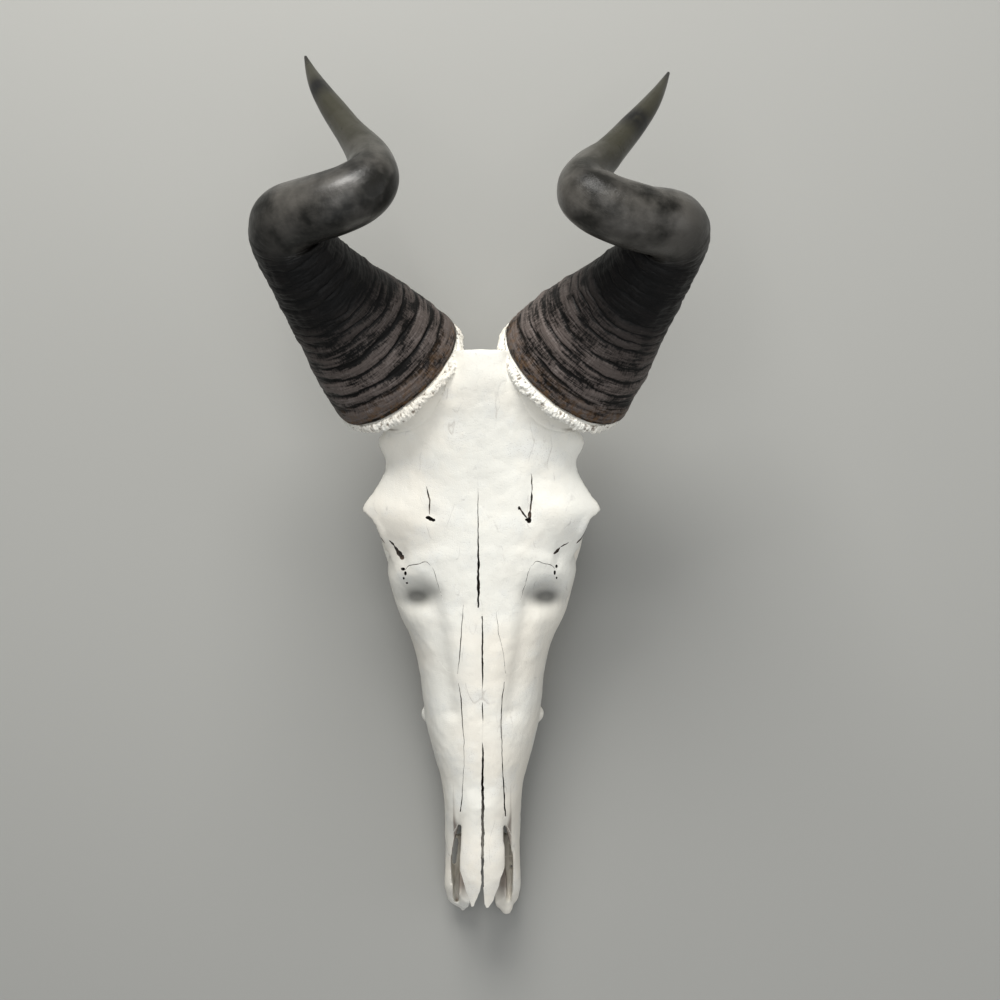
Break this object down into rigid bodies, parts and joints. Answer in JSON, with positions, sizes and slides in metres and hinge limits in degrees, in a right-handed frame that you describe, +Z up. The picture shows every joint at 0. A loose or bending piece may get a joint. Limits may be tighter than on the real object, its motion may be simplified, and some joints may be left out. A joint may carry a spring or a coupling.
{
  "type": "hartebeest skull",
  "caption": "Life-size hartebeest skull with both ringed, twice-bent horns, without the lower jaw, lying face up on its teeth.",
  "frame": {"origin": "middle of the bounding box seen from above, on the plane that the tooth crowns and ear processes rest on", "axes": "+Z up through the forehead, +Y from the muzzle to the horn tips, +X to the right of a viewer who looks down on the face with the muzzle nearest"},
  "size_m": [0.2937, 0.6116, 0.2677],
  "materials": {
    "bone": "bleached dry bone, matt, slightly chalky",
    "tooth": "ivory enamel, satin",
    "horn": "dark keratin, ringed and fibrous at the base, smooth and satin above"
  },
  "bodies": {
    "root": {"nasal_left": "bone", "nasal_right": "bone", "premaxilla_left": "bone", "premaxilla_right": "bone", "maxilla_left": "bone", "maxilla_right": "bone", "lacrimal_left": "bone", "lacrimal_right": "bone", "zygomatic_left": "bone", "zygomatic_right": "bone", "frontal_left": "bone", "frontal_right": "bone", "palatine": "bone", "braincase": "bone", "occipital": "bone", "horn_left": "horn", "horn_right": "horn"}
  },
  "joints": []
}
